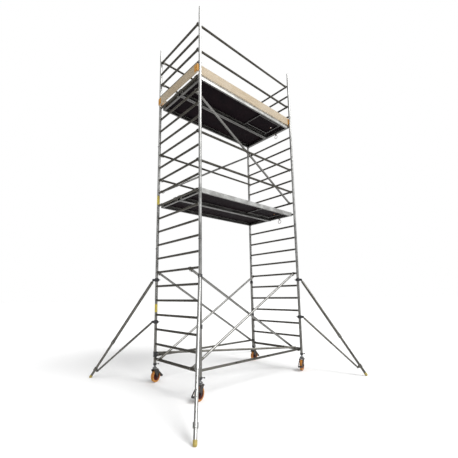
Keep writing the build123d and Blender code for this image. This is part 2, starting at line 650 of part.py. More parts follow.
def castor_wheel():
    """Tyre and ribbed hub on the axle."""
    half = WHEEL_WIDTH / 2
    tyre = tube((TRAIL, -half, WHEEL_R), (TRAIL, half, WHEEL_R), WHEEL_R)
    tyre = fillet(tyre.edges().filter_by(GeomType.CIRCLE), 9)
    tyre -= tube((TRAIL, -half, WHEEL_R), (TRAIL, half, WHEEL_R), HUB_R + FIT)
    hub = tube((TRAIL, -half + 2, WHEEL_R), (TRAIL, half - 2, WHEEL_R), HUB_R)
    for side in (-1, 1):
        dish = tube((0, side * 9, 0), (0, side * half, 0), HUB_R - 10)
        dish -= tube((0, -half, 0), (0, half, 0), 24)
        hub -= Pos(TRAIL, 0, WHEEL_R) * dish
    boss = FORK_GAP - 0.7
    hub += tube((TRAIL, -boss, WHEEL_R), (TRAIL, boss, WHEEL_R), 18)
    hub -= tube((TRAIL, -boss, WHEEL_R), (TRAIL, boss, WHEEL_R), AXLE_R + 0.08)
    return [tyre, hub]


def brake_pedal():
    """Forked lever outside the fork, with a pad behind the tyre that presses on the tread."""
    outline = [(45, 182), (55, 190), (67, 184), (165, 97), (167, 81), (147, 73), (139, 79), (137, 93),
               (47, 170)]
    inner = FORK_GAP + FORK_PLATE + 0.5
    lever = plate(outline, -PEDAL_HALF_WIDTH, -inner) + plate(outline, inner, PEDAL_HALF_WIDTH)
    pad = plate([(140, 94), (165, 97), (171, 87), (165, 75), (147, 71), (140, 77)],
                -PEDAL_HALF_WIDTH, PEDAL_HALF_WIDTH)
    far = PEDAL_HALF_WIDTH + 3
    pin_ends = [(PEDAL_PIVOT_U, end, PEDAL_PIVOT_Z) for end in (-far, far)]
    hole = tube(*pin_ends, PEDAL_PIN_R + 0.08)
    return [lever + pad - hole]


def make_castors():
    """Four castors, each turned to its own heading."""
    nuts = []
    for corner, heading in CASTOR_HEADING.items():
        sub_parts = {
            "spindle": castor_spindle(),
            "fork": castor_fork(),
            "wheel": castor_wheel(),
            "pedal": brake_pedal(),
        }
        for name, pieces in sub_parts.items():
            save(f"castor_{corner}_{name}", [at_corner(corner, heading, piece) for piece in pieces])
        nuts.append(at_corner(corner, NUT_LEVER_HEADING, adjusting_nut()))
    save("castor_adjusting_nuts", nuts)


# ---------------------------------------------------------------- stabilisers
LEG_TOP = Vector(PIVOT_REACH, 0, LEG_PIVOT_Z)
STRUT_TOP = Vector(PIVOT_REACH, 0, STRUT_PIVOT_Z)


def leg_line(reach):
    """Lower end of a leg, in its foot, and its direction."""
    end = Vector(reach, 0, FOOT_BALL_Z)
    return end, (end - LEG_TOP).normalized()


def strut_line(reach):
    """Lower pin of a strut, below the collar on the leg, and the strut's direction."""
    foot, along = leg_line(reach)
    below = along.cross(Vector(0, 1, 0)).normalized() * -COLLAR_DROP
    end = foot - along * COLLAR_FROM_FOOT + below
    return end, (end - STRUT_TOP).normalized()


def clamp(z):
    """A swivel coupler round the upright with two ears, a pivot pin and a wing nut."""
    half = CLAMP_HEIGHT / 2
    body = Pos(0, 0, z) * Cylinder(CLAMP_R, CLAMP_HEIGHT)
    for side in (-1, 1):
        near, far = sorted((side * LUG_INNER, side * (LUG_INNER + LUG_PLATE)))
        body += block((20, near, z - 22), (PIVOT_REACH, far, z + 22))
        body += tube((PIVOT_REACH, near, z), (PIVOT_REACH, far, z), 22)
    body += block((-CLAMP_R - 12, -16, z - 20), (-20, 16, z + 20))
    body -= Pos(0, 0, z) * Cylinder(CLAMP_BORE, 2 * CLAMP_HEIGHT)
    far = LUG_INNER + LUG_PLATE + 4
    body -= tube((PIVOT_REACH, -far, z), (PIVOT_REACH, far, z), PIVOT_PIN_R + FIT)
    pin = tube((PIVOT_REACH, -far, z), (PIVOT_REACH, far, z), PIVOT_PIN_R)
    bolt = tube((-CLAMP_R - 12, 0, z), (-CLAMP_R - 36, 0, z), 6)
    nut = block((-CLAMP_R - 32, -24, z - 5), (-CLAMP_R - 22, 24, z + 5))
    return [body, pin, bolt + fillet(nut.edges().filter_by(Axis.X), 4)]


def tongue(origin, direction, length):
    """A flat eye at a pivot that runs into the end of a tube."""
    seat = Location(Plane(origin=origin, x_dir=direction, z_dir=direction.cross(Vector(0, 1, 0))))
    eye = tube((0, -7, 0), (0, 7, 0), 19)
    neck = block((0, -7, -13), (length, 7, 13))
    hole = tube((0, -9, 0), (0, 9, 0), PIVOT_PIN_R + FIT)
    return seat * (eye + neck - hole)


def collar(reach):
    """The collar that the inner leg slides through, with two ears for the strut's lower pin."""
    foot, along = leg_line(reach)
    pin, _ = strut_line(reach)
    middle = foot - along * COLLAR_FROM_FOOT
    body = tube(middle - along * COLLAR_HALF, middle + along * COLLAR_HALF, 31)
    away = (pin - middle).normalized()
    for side in (-1, 1):
        shift = Vector(0, side * (LUG_INNER + LUG_PLATE / 2), 0)
        seat = Location(Plane(origin=middle + shift, x_dir=away, z_dir=Vector(0, 1, 0)))
        body += seat * Pos(COLLAR_DROP / 2, 0, 0) * Box(COLLAR_DROP, 34, LUG_PLATE)
        body += seat * Pos(COLLAR_DROP, 0, 0) * Cylinder(17, LUG_PLATE)
    body -= tube(middle - along * 60, middle + along * 60, INNER_LEG_R + 0.08)
    return body - tube(pin - Vector(0, 20, 0), pin + Vector(0, 20, 0), PIVOT_PIN_R + FIT)


def stabiliser_arm(reach):
    """Outer leg, two-part strut, eyes at the pivots and the collar."""
    foot, along = leg_line(reach)
    pin, strut_along = strut_line(reach)
    outer_end = foot - along * INNER_LEG_SHOWN
    leg = tube(LEG_TOP + along * 44, outer_end, LEG_R, LEG_BORE)
    throat = tube(outer_end - along * 60, outer_end + along * 8, LEG_R + 4, LEG_R + FIT)
    strut_joint = pin - strut_along * INNER_STRUT_SHOWN
    strut = tube(STRUT_TOP + strut_along * 40, strut_joint, STRUT_R, STRUT_BORE)
    slider = tube(strut_joint - strut_along * 150, pin - strut_along * 34, INNER_STRUT_R, 13.2)
    lower_pin = tube(pin - Vector(0, 19, 0), pin + Vector(0, 19, 0), PIVOT_PIN_R)
    leg_eye = tongue(LEG_TOP, along, 130)
    leg_eye &= tube(LEG_TOP - along * 40, LEG_TOP + along * 140, LEG_BORE - FIT)
    strut_eye = tongue(STRUT_TOP, strut_along, 110)
    strut_eye &= tube(STRUT_TOP - strut_along * 40, STRUT_TOP + strut_along * 120, STRUT_BORE - FIT)
    lower_eye = tongue(pin, -strut_along, 90)
    lower_eye &= tube(pin + strut_along * 40, pin - strut_along * 120, 13.1)
    return [leg, throat, strut, slider, collar(reach), lower_pin, leg_eye, strut_eye, lower_eye]


def foot_leg(reach):
    """Inner leg with its rubber foot, cut flat where it stands on the floor."""
    end, along = leg_line(reach)
    start = end - along * (INNER_LEG_SHOWN + INNER_LEG_HIDDEN)
    inner = tube(start, end - along * 20, INNER_LEG_R, INNER_LEG_BORE)
    cap = tube(end - along * 52, end, FOOT_BALL_R)
    cap += Pos(*end) * Sphere(FOOT_BALL_R)
    cap -= block((reach - 100, -100, -50), (reach + 100, 100, 0))
    cap -= tube(end - along * 120, end - along * 20, INNER_LEG_R + FIT)
    return [inner, cap]


def make_stabilisers():
    """Four stabilisers, each with its own reach and turned to its own heading."""
    couplers = clamp(LEG_PIVOT_Z) + clamp(STRUT_PIVOT_Z)
    for corner, heading in STABILISER_HEADING.items():
        reach = FOOT_REACH[corner]
        save(f"stabiliser_{corner}_couplers", [at_corner(corner, heading, piece) for piece in couplers])
        arm = [at_corner(corner, heading, piece) for piece in stabiliser_arm(reach)]
        leg = [at_corner(corner, heading, piece) for piece in foot_leg(reach)]
        save(f"stabiliser_{corner}_arm", arm)
        save(f"stabiliser_{corner}_foot_leg", leg)


os.makedirs("parts", exist_ok=True)
make_frames()
make_braces()
make_horizontals()
make_platforms()
make_toe_boards()
make_castors()
make_stabilisers()
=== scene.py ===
import json
import math

import bmesh
import bpy
from mathutils import Matrix, Vector


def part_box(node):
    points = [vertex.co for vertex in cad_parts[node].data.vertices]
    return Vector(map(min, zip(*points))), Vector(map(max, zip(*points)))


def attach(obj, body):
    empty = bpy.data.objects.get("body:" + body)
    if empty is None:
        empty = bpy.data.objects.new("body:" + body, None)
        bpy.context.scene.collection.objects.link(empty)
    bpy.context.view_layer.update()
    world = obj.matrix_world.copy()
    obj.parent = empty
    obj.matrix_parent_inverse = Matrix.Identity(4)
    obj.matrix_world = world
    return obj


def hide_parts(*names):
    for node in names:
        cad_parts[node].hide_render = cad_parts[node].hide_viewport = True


# The looks of a mobile tower scaffold, built round its CAD frame. Metres, +Z up, floor at z = 0.
# Corners: a (-X, +Y), b (-X, -Y), c (+X, +Y), d (+X, -Y).

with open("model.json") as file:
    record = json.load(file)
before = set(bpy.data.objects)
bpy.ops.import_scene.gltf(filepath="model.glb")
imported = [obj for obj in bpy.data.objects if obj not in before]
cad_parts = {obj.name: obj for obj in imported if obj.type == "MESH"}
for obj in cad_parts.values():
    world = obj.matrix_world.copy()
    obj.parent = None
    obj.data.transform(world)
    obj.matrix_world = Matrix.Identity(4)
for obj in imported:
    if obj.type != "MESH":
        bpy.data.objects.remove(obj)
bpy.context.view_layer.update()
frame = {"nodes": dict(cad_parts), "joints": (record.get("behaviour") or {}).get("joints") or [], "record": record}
record = frame["record"]
nodes = frame["nodes"]
joints = {joint["name"]: joint for joint in frame["joints"]}
mounts = {mount["name"]: mount for mount in record["mounts"]}

CORNERS = ("a", "b", "c", "d")
FRAME_ENDS = ("frame_1", "frame_2")
LEVELS = ("lower", "middle", "upper")
DECK_LEVELS = ("lower", "upper")
corner_at = {c: Vector(mounts[f"top_spigot_{c}"]["pos_m"]) for c in CORNERS}

# ---- sizes shared with the frame ----
RUNG_PITCH = 0.25
RUNGS_PER_FRAME = 8
FRAME_FOOT = 0.07
UPRIGHT_R = 0.025
RUNG_R = 0.019
BOTTOM_RUNG_R = 0.023
BRACE_R = 0.020
WHEEL_R = 0.100
HUB_R = 0.074
LEG_TOP_REACH = 0.062
LEG_TOP_Z = 1.755
FOOT_BALL_Z = 0.020
FOOT_BALL_R = 0.024
INNER_LEG_R = 0.021
INNER_LEG_BORE = 0.018
INNER_LEG_SHOWN = 0.750
INNER_LEG_HIDDEN = 0.500
GUARD_SETBACK = 0.060
GUARDS_ABOVE_Z = 3.5
PLATFORM_RAIL_DEPTH = 0.072
PLATFORM_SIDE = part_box("upper_plain_platform_frame")[1].y
LOWEST_RUNG_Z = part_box("frame_1_lower")[0].z + FRAME_FOOT
LOW_BRACES_BELOW_Z = LOWEST_RUNG_Z + 0.57 * RUNG_PITCH

# ---- patterns, trim and finish ----
DECK_MESH_PITCH = 0.009
PLY_LAYER = 0.0024
SHARP_DEGREES = 35
LABEL_CORNER_R = 0.012
GRIP_RIBS = 4
GRIP_PITCH = 0.0065
GRIP_HALF = 0.036
FIRST_GRIP_REACH = 0.142
FIRST_GRIP_Z = 0.095
PAD_SLOPE = (0.949, 0.316)

# ---- studio light ----
KEY_POWER = 2.3
KEY_WAY = (-0.15, 0.72, -0.85)
KEY_SPREAD = 32
ROOM_LOW = 0.15
ROOM_HIGH = 1.15
FLOOR_R = 90

# ---- camera ----
EYE = (-4.043, -4.325, 1.469)
YAW, PITCH, ROLL = 0.7371, 0.1585, -0.0145
SENSOR_WIDTH = 36.0
LENS = 23.98755458
LENS_SHIFT = (0.00534934, 0.03748908)


# ---------------------------------------------------------------- small helpers
def smoothstep(low, high, value):
    """0 below low, 1 above high, smooth between them."""
    share = min(max((value - low) / (high - low), 0.0), 1.0)
    return share * share * (3 - 2 * share)


def basis(axis):
    """Two unit vectors across an axis."""
    axis = Vector(axis).normalized()
    across = axis.cross(Vector((0, 0, 1)))
    if across.length < 0.1:
        across = axis.cross(Vector((1, 0, 0)))
    across.normalize()
    return across, axis.cross(across)


def local_frame(origin, across, axis):
    """A matrix whose X is across, Z is axis, at origin."""
    z = Vector(axis).normalized()
    x = (Vector(across) - z * Vector(across).dot(z)).normalized()
    y = z.cross(x)
    matrix = Matrix((x, y, z)).transposed().to_4x4()
    matrix.translation = Vector(origin)
    return matrix


def piece(name, bm, material, body):
    """Turns a bmesh into a finished, smooth-shaded piece that rides on a body."""
    bmesh.ops.remove_doubles(bm, verts=bm.verts, dist=1e-6)
    bmesh.ops.recalc_face_normals(bm, faces=bm.faces)
    mesh = bpy.data.meshes.new(name)
    bm.to_mesh(mesh)
    bm.free()
    mesh.materials.append(material)
    mesh.shade_smooth()
    mesh.set_sharp_from_angle(angle=math.radians(SHARP_DEGREES))
    made = bpy.data.objects.new(name, mesh)
    bpy.context.scene.collection.objects.link(made)
    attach(made, body)
    return made


def add_lathe(bm, matrix, profile, segments=48, closed=True):
    """Adds a shape turned about the matrix's Z axis. profile is (radius, height) points, a loop if closed."""
    rings = []
    for step in range(segments):
        angle = 2 * math.pi * step / segments
        turn = Vector((math.cos(angle), math.sin(angle), 0))
        rings.append([
            bm.verts.new(matrix @ (turn * radius + Vector((0, 0, height))))
            for radius, height in profile
        ])
    count = len(profile) if closed else len(profile) - 1
    for step in range(segments):
        here, there = rings[step], rings[(step + 1) % segments]
        for index in range(count):
            after = (index + 1) % len(profile)
            bm.faces.new((here[index], there[index], there[after], here[after]))
    if not closed:
        for end in (0, -1):
            bm.faces.new([ring[end] for ring in rings])


def add_prism(bm, matrix, outline, low, high, bevel=0.0):
    """Adds a straight prism between two heights along the matrix's Z, with its edges rounded by bevel."""
    part = bmesh.new()
    bottom = [part.verts.new(matrix @ Vector((x, y, low))) for x, y in outline]
    top = [part.verts.new(matrix @ Vector((x, y, high))) for x, y in outline]
    part.faces.new(bottom[::-1])
    part.faces.new(top)
    count = len(outline)
    for index in range(count):
        after = (index + 1) % count
        part.faces.new((bottom[index], bottom[after], top[after], top[index]))
    if bevel:
        bmesh.ops.bevel(part, geom=part.edges[:], offset=bevel, segments=2, affect="EDGES", profile=0.6)
    merge(bm, part)


def merge(target, source):
    """Copies a bmesh into another and frees it."""
    mesh = bpy.data.meshes.new("merge_step")
    source.to_mesh(mesh)
    source.free()
    target.from_mesh(mesh)
    bpy.data.meshes.remove(mesh)


def circle(radius, count, phase=0.0):
    """Points of a regular polygon."""
    turns = [phase + 2 * math.pi * step / count for step in range(count)]
    return [(radius * math.cos(turn), radius * math.sin(turn)) for turn in turns]


def add_rivet(bm, matrix, radius=0.0042, height=0.0022):
    """Adds a domed rivet head that sits on the matrix's origin and faces its Z."""
    dome = [(0.0002, height), (radius * 0.5, height * 0.88), (radius * 0.85, height * 0.5), (radius, 0)]
    add_lathe(bm, matrix, dome + [(radius, -height)], segments=14, closed=False)


def add_bolt(bm, matrix, across=0.0075, height=0.006):
    """Adds a hexagon head on a washer."""
    add_lathe(bm, matrix, [(0.0005, 0.0015), (across * 1.45, 0.0015), (across * 1.5, 0.0), (0.0005, 0.0)], 28)
    add_prism(bm, matrix, circle(across, 6), 0.0015, height, bevel=0.0007)


# ---------------------------------------------------------------- materials
class Paint:
    """A node material with one Principled shader, and short calls for its usual nodes."""

    def __init__(self, name, metallic=0.0, roughness=0.5, **constants):
        self.material = bpy.data.materials.new(name)
        self.material.use_nodes = True
        self.tree = self.material.node_tree
        self.shader = self.tree.nodes["Principled BSDF"]
        self.shader.inputs["Metallic"].default_value = metallic
        self.shader.inputs["Roughness"].default_value = roughness
        for key, value in constants.items():
            self.shader.inputs[key.replace("_", " ")].default_value = value
        self.where = self.tree.nodes.new("ShaderNodeTexCoord").outputs["Object"]
        self.bumps = None

    def link(self, source, target):
        if isinstance(source, bpy.types.NodeSocket):
            self.tree.links.new(source, target)
        else:
            target.default_value = source

    def math(self, operation, first, second=0.0, third=0.0, clamp=False):
        node = self.tree.nodes.new("ShaderNodeMath")
        node.operation = operation
        node.use_clamp = clamp
        for socket, value in zip(node.inputs, (first, second, third)):
            self.link(value, socket)
        return node.outputs[0]

    def split(self, vector):
        node = self.tree.nodes.new("ShaderNodeSeparateXYZ")
        self.link(vector, node.inputs[0])
        return node.outputs

    def normal(self):
        """The way the surface faces at rest, which turns with its body."""
        return self.split(self.tree.nodes.new("ShaderNodeTexCoord").outputs["Normal"])

    def stretch(self, x=1.0, y=1.0, z=1.0):
        node = self.tree.nodes.new("ShaderNodeMapping")
        self.link(self.where, node.inputs["Vector"])
        node.inputs["Scale"].default_value = (x, y, z)
        return node.outputs[0]

    def noise(self, scale, detail=3.0, roughness=0.55, vector=None, distortion=0.0):
        node = self.tree.nodes.new("ShaderNodeTexNoise")
        self.link(vector if vector is not None else self.where, node.inputs["Vector"])
        node.inputs["Scale"].default_value = scale
        node.inputs["Detail"].default_value = detail
        node.inputs["Roughness"].default_value = roughness
        node.inputs["Distortion"].default_value = distortion
        return node.outputs["Fac"]

    def cells(self, scale, feature="F1", vector=None, output="Distance"):
        node = self.tree.nodes.new("ShaderNodeTexVoronoi")
        node.feature = feature
        self.link(vector if vector is not None else self.where, node.inputs["Vector"])
        node.inputs["Scale"].default_value = scale
        return node.outputs[output]

    def span(self, value, low, high, to_low=0.0, to_high=1.0, smooth=True):
        node = self.tree.nodes.new("ShaderNodeMapRange")
        node.interpolation_type = "SMOOTHSTEP" if smooth else "LINEAR"
        self.link(value, node.inputs["Value"])
        for key, number in (("From Min", low), ("From Max", high), ("To Min", to_low), ("To Max", to_high)):
            node.inputs[key].default_value = number
        return node.outputs[0]

    def mix(self, share, first, second):
        node = self.tree.nodes.new("ShaderNodeMix")
        node.data_type = "RGBA"
        self.link(share, node.inputs["Factor"])
        for name, value in (("A", first), ("B", second)):
            socket = [s for s in node.inputs if s.name == name and s.type == "RGBA"][0]
            self.link(value if isinstance(value, bpy.types.NodeSocket) else (*value, 1.0), socket)
        return [s for s in node.outputs if s.type == "RGBA"][0]

    def colour(self, value):
        self.link(value, self.shader.inputs["Base Color"])

    def rough(self, value):
        self.link(value, self.shader.inputs["Roughness"])

    def bump(self, height, depth, strength=1.0):
        """Adds a bump of that depth in metres on top of the ones before it."""
        node = self.tree.nodes.new("ShaderNodeBump")
        node.inputs["Strength"].default_value = strength
        node.inputs["Distance"].default_value = depth
        self.link(height, node.inputs["Height"])
        if self.bumps is not None:
            self.link(self.bumps, node.inputs["Normal"])
        self.bumps = node.outputs[0]
        self.link(self.bumps, self.shader.inputs["Normal"])


def srgb(red, green, blue):
    """A linear colour from 0-255 display values."""
    def linear(value):
        value /= 255.0
        return value / 12.92 if value <= 0.04045 else ((value + 0.055) / 1.055) ** 2.4
    return linear(red), linear(green), linear(blue)


def aged_metal(paint, bright, dull, scale=7.0):
    """Colour and roughness that drift along the metal, with handling marks."""
    drift = paint.noise(scale, 4.0, 0.6)
    marks = paint.span(paint.noise(60.0, 6.0, 0.7), 0.57, 0.72)
    tone = paint.mix(paint.span(drift, 0.35, 0.68), dull, bright)
    tone = paint.mix(paint.math("MULTIPLY", marks, 0.45), tone, tuple(c * 0.45 for c in dull))
    return tone, drift, marks


def aluminium():
    """Drawn tube whose tones by place are painted light and shade: uprights painted darker towards the ground,
    dark ribbed rungs and guardrails, grey low braces and far legs, a lighter near leg at b.
    """
    paint = Paint("aluminium_tube", metallic=1.0, roughness=0.34)
    x, y, z = paint.split(paint.where)
    side = corner_at["a"].y
    length = corner_at["c"].x
    off_x = paint.math("SUBTRACT", paint.math("ABSOLUTE", x), length)
    off_y = paint.math("SUBTRACT", paint.math("ABSOLUTE", y), side)
    on_frame = paint.math("LESS_THAN", paint.math("ABSOLUTE", off_x), UPRIGHT_R + 0.002)
    is_rung = paint.math("MULTIPLY", on_frame, paint.math("LESS_THAN", off_y, -UPRIGHT_R))
    between = paint.math("LESS_THAN", off_x, -UPRIGHT_R - 0.01)
    at_guard = paint.math("COMPARE", off_y, -GUARD_SETBACK, BRACE_R + 0.004)
    above = paint.math("GREATER_THAN", z, GUARDS_ABOVE_Z)
    is_guard = paint.math("MULTIPLY", paint.math("MULTIPLY", between, at_guard), above)
    is_low = paint.math("MULTIPLY", between, paint.math("LESS_THAN", z, LOW_BRACES_BELOW_Z))
    is_leg = paint.math("GREATER_THAN", paint.math("MAXIMUM", off_x, off_y), UPRIGHT_R + 0.012)
    near_b = paint.math("MULTIPLY", paint.math("LESS_THAN", x, -length), paint.math("LESS_THAN", y, -side))
    far_leg = paint.math("MULTIPLY", is_leg, paint.math("SUBTRACT", 1.0, near_b))
    bright, drift, marks = aged_metal(paint, srgb(216, 216, 214), srgb(190, 190, 187))
    # Painted shade: the uprights' lower tone. They blend from the bright tone at 3 m down to this darker tone at
    # 0.7 m and below.
    worn = paint.mix(drift, srgb(132, 131, 127), srgb(104, 102, 98))
    upright = paint.mix(paint.span(z, 0.7, 3.0), worn, bright)
    tone = paint.mix(between, upright, paint.mix(drift, srgb(150, 149, 146), srgb(124, 123, 120)))
    # Painted shade: the low braces and the far stabiliser legs take this darker grey.
    grey = paint.mix(paint.span(drift, 0.3, 0.7), srgb(92, 90, 85), srgb(114, 112, 106))
    tone = paint.mix(paint.math("MAXIMUM", is_low, far_leg), tone, grey)
    # Painted shade: rungs and guardrails, seen from below, are given this dark tone.
    dark = paint.mix(paint.span(drift, 0.3, 0.7), srgb(74, 71, 65), srgb(94, 91, 84))
    tone = paint.mix(paint.math("MAXIMUM", is_rung, is_guard), tone, dark)
    # Painted light: the near leg at b is given a lighter grey than the other legs.
    paint.colour(paint.mix(paint.math("MULTIPLY", near_b, is_leg), tone, srgb(166, 166, 164)))
    step = paint.math("WRAP", paint.math("SUBTRACT", z, LOWEST_RUNG_Z), RUNG_PITCH / 2, -RUNG_PITCH / 2)
    ribs = paint.math("SINE", paint.math("MULTIPLY", paint.math("ARCTAN2", step, off_x), 26.0))
    paint.bump(paint.math("MULTIPLY", ribs, is_rung), 0.0007, 0.8)
    lines = paint.noise(90.0, 2.0, 0.5, vector=paint.stretch(1.0, 1.0, 0.02))
    paint.bump(lines, 0.0003, 0.35)
    rough = paint.math("ADD", paint.span(drift, 0.3, 0.7, 0.26, 0.42), paint.math("MULTIPLY", marks, 0.18))
    paint.rough(paint.math("ADD", rough, paint.math("MULTIPLY", is_rung, 0.10)))
    return paint.material


def platform_aluminium():
    """Extruded rails with die lines along their length, with painted shade inside and under the platforms."""
    paint = Paint("platform_extrusion", metallic=1.0, roughness=0.38)
    tone, drift, marks = aged_metal(paint, srgb(236, 237, 235), srgb(208, 208, 205), 5.0)
    lines = paint.noise(220.0, 2.0, 0.5, vector=paint.stretch(0.01, 1.0, 1.0))
    _, y, _ = paint.split(paint.where)
    # Painted shade: faces inside the platform and faces pointing down are darkened.
    inside = paint.math("LESS_THAN", paint.math("ABSOLUTE", y), PLATFORM_SIDE - 0.006)
    under = paint.math("LESS_THAN", paint.normal()[2], -0.5)
    shaded = paint.math("MAXIMUM", inside, under)
    tone = paint.mix(paint.math("MULTIPLY", shaded, 0.9), tone, srgb(84, 82, 80))
    paint.colour(paint.mix(paint.math("MULTIPLY", lines, 0.16), tone, srgb(80, 80, 78)))
    rough = paint.math("ADD", paint.span(drift, 0.3, 0.7, 0.3, 0.46), paint.math("MULTIPLY", marks, 0.15))
    paint.rough(rough)
    paint.bump(lines, 0.0004, 0.5)
    return paint.material


def cast_grey():
    """Sand-cast claws and hooks."""
    paint = Paint("cast_aluminium", metallic=1.0, roughness=0.55)
    tone, drift, _ = aged_metal(paint, srgb(168, 166, 160), srgb(112, 110, 105), 18.0)
    grain = paint.noise(420.0, 4.0, 0.65)
    paint.colour(paint.mix(paint.math("MULTIPLY", grain, 0.35), tone, srgb(84, 82, 78)))
    paint.rough(paint.span(drift, 0.3, 0.7, 0.48, 0.64))
    paint.bump(grain, 0.0010, 0.55)
    return paint.material


def worn_black(name, body_tone, metal_tone, rough):
    """Black paint that has chipped through to steel."""
    paint = Paint(name, roughness=rough)
    chips = paint.span(paint.noise(85.0, 5.0, 0.72), 0.61, 0.655)
    patches = paint.span(paint.noise(9.0, 2.0, 0.5), 0.44, 0.62)
    worn = paint.math("MULTIPLY", chips, patches)
    dust = paint.math("MULTIPLY", paint.span(paint.normal()[2], 0.35, 0.95), 0.22)
    tone = paint.mix(dust, body_tone, srgb(122, 116, 106))
    paint.colour(paint.mix(worn, tone, metal_tone))
    paint.link(paint.math("MULTIPLY", worn, 0.85), paint.shader.inputs["Metallic"])
    paint.rough(paint.span(paint.noise(34.0, 4.0, 0.6), 0.3, 0.7, rough - 0.08, rough + 0.14))
    paint.bump(paint.noise(300.0, 3.0, 0.6), 0.0006, 0.35)
    paint.bump(paint.math("SUBTRACT", 1.0, worn), 0.0004, 0.6)
    return paint.material


def deck_ply():
    """Film-faced plywood: a wire-mesh print on top, smooth and near-black below, ply layers at its edges."""
    paint = Paint("film_faced_ply", roughness=0.55, Specular_IOR_Level=0.02)
    up = paint.normal()[2]
    top = paint.span(up, 0.4, 0.6)
    edge = paint.math("SUBTRACT", 1.0, paint.span(paint.math("ABSOLUTE", up), 0.4, 0.6))
    x, y, z = paint.split(paint.where)
    wires = []
    for slant in ("ADD", "SUBTRACT"):
        turn = paint.math("MULTIPLY", paint.math(slant, x, y), math.pi / DECK_MESH_PITCH)
        wires.append(paint.math("ABSOLUTE", paint.math("SINE", turn)))
    mesh = paint.math("MULTIPLY", paint.span(paint.math("MINIMUM", *wires), 0.0, 0.35), top)
    drift = paint.noise(5.0, 5.0, 0.6)
    film = paint.mix(paint.span(drift, 0.3, 0.75), srgb(17, 12, 16), srgb(30, 22, 25))
    scuffs = paint.span(paint.noise(22.0, 7.0, 0.72, vector=paint.stretch(0.35, 1.0, 1.0)), 0.55, 0.75)
    scuffs = paint.math("MULTIPLY", scuffs, paint.math("MULTIPLY_ADD", top, 0.42, 0.03))
    film = paint.mix(scuffs, film, srgb(112, 102, 92))
    layers = paint.math("SINE", paint.math("MULTIPLY", z, 2 * math.pi / PLY_LAYER))
    ply = paint.mix(paint.span(layers, -0.5, 0.5), srgb(112, 76, 50), srgb(158, 122, 86))
    paint.colour(paint.mix(edge, film, ply))
    paint.rough(paint.span(drift, 0.3, 0.7, 0.5, 0.68))
    paint.bump(mesh, 0.0009, 0.9)
    paint.bump(paint.noise(60.0, 4.0, 0.6), 0.0006, 0.25)
    return paint.material


def toe_board_ply():
    """Pale plywood boards with grain along their length and a sealed edge."""
    paint = Paint("toe_board_birch", roughness=0.55, Coat_Weight=0.12, Coat_Roughness=0.35)
    grain = paint.noise(10.0, 6.0, 0.62, vector=paint.stretch(0.55, 0.55, 14.0), distortion=0.6)
    fine = paint.noise(60.0, 3.0, 0.6, vector=paint.stretch(0.4, 0.4, 9.0))
    drift = paint.noise(2.2, 3.0, 0.5)
    tone = paint.mix(paint.span(grain, 0.34, 0.7), srgb(194, 178, 152), srgb(168, 149, 120))
    tone = paint.mix(paint.math("MULTIPLY", paint.span(fine, 0.5, 0.74), 0.4), tone, srgb(142, 123, 99))
    tone = paint.mix(paint.math("MULTIPLY", paint.span(drift, 0.4, 0.7), 0.3), tone, srgb(198, 188, 172))
    dirt = paint.span(paint.noise(14.0, 6.0, 0.7), 0.6, 0.76)
    paint.colour(paint.mix(paint.math("MULTIPLY", dirt, 0.3), tone, srgb(120, 104, 84)))
    paint.rough(paint.span(fine, 0.3, 0.7, 0.46, 0.64))
    paint.bump(grain, 0.0006, 0.5)
    paint.bump(fine, 0.0003, 0.5)
    return paint.material


def moulded(name, light, dark, rough, grain=260.0, dirt_tone=None, dirt=0.25, **constants):
    """A moulded plastic or rubber with a fine skin, uneven colour and some dirt."""
    paint = Paint(name, roughness=rough, **constants)
    drift = paint.noise(11.0, 4.0, 0.6)
    tone = paint.mix(paint.span(drift, 0.32, 0.7), light, dark)
    spots = paint.span(paint.noise(48.0, 6.0, 0.7), 0.55, 0.74)
    dirt_tone = dirt_tone or tuple(c * 0.4 for c in dark)
    paint.colour(paint.mix(paint.math("MULTIPLY", spots, dirt), tone, dirt_tone))
    paint.rough(paint.span(paint.noise(30.0, 4.0, 0.6), 0.3, 0.7, rough - 0.07, rough + 0.12))
    paint.bump(paint.noise(grain, 3.0, 0.55), 0.0004, 0.45)
    return paint.material


def zinc_steel():
    """Zinc plate with its pale spangle."""
    paint = Paint("zinc_plate", metallic=1.0, roughness=0.36)
    spangle = paint.cells(120.0)
    tone, drift, _ = aged_metal(paint, srgb(196, 198, 200), srgb(140, 142, 144), 22.0)
    paint.colour(paint.mix(paint.span(spangle, 0.1, 0.6, 0.0, 0.35), tone, srgb(112, 112, 110)))
    paint.rough(paint.span(drift, 0.3, 0.7, 0.28, 0.48))
    paint.bump(paint.noise(240.0, 3.0, 0.6), 0.0003, 0.4)
    return paint.material


def rusty_steel():
    """Bare wire that has rusted."""
    paint = Paint("rusted_wire", roughness=0.75)
    rust = paint.noise(70.0, 6.0, 0.7)
    tone = paint.mix(paint.span(rust, 0.35, 0.65), srgb(58, 40, 34), srgb(112, 66, 40))
    bare = paint.span(paint.noise(32.0, 4.0, 0.6), 0.58, 0.66)
    paint.colour(paint.mix(bare, tone, srgb(92, 88, 84)))
    paint.link(paint.math("MULTIPLY", bare, 0.7), paint.shader.inputs["Metallic"])
    paint.rough(paint.span(rust, 0.3, 0.7, 0.6, 0.85))
    paint.bump(rust, 0.0012, 0.8)
    return paint.material


def studio_floor():
    """A pale floor with a very slight unevenness."""
    paint = Paint("studio_floor", roughness=0.9)
    paint.colour(paint.mix(paint.noise(0.35, 3.0), srgb(246, 246, 246), srgb(250, 250, 250)))
    return paint.material


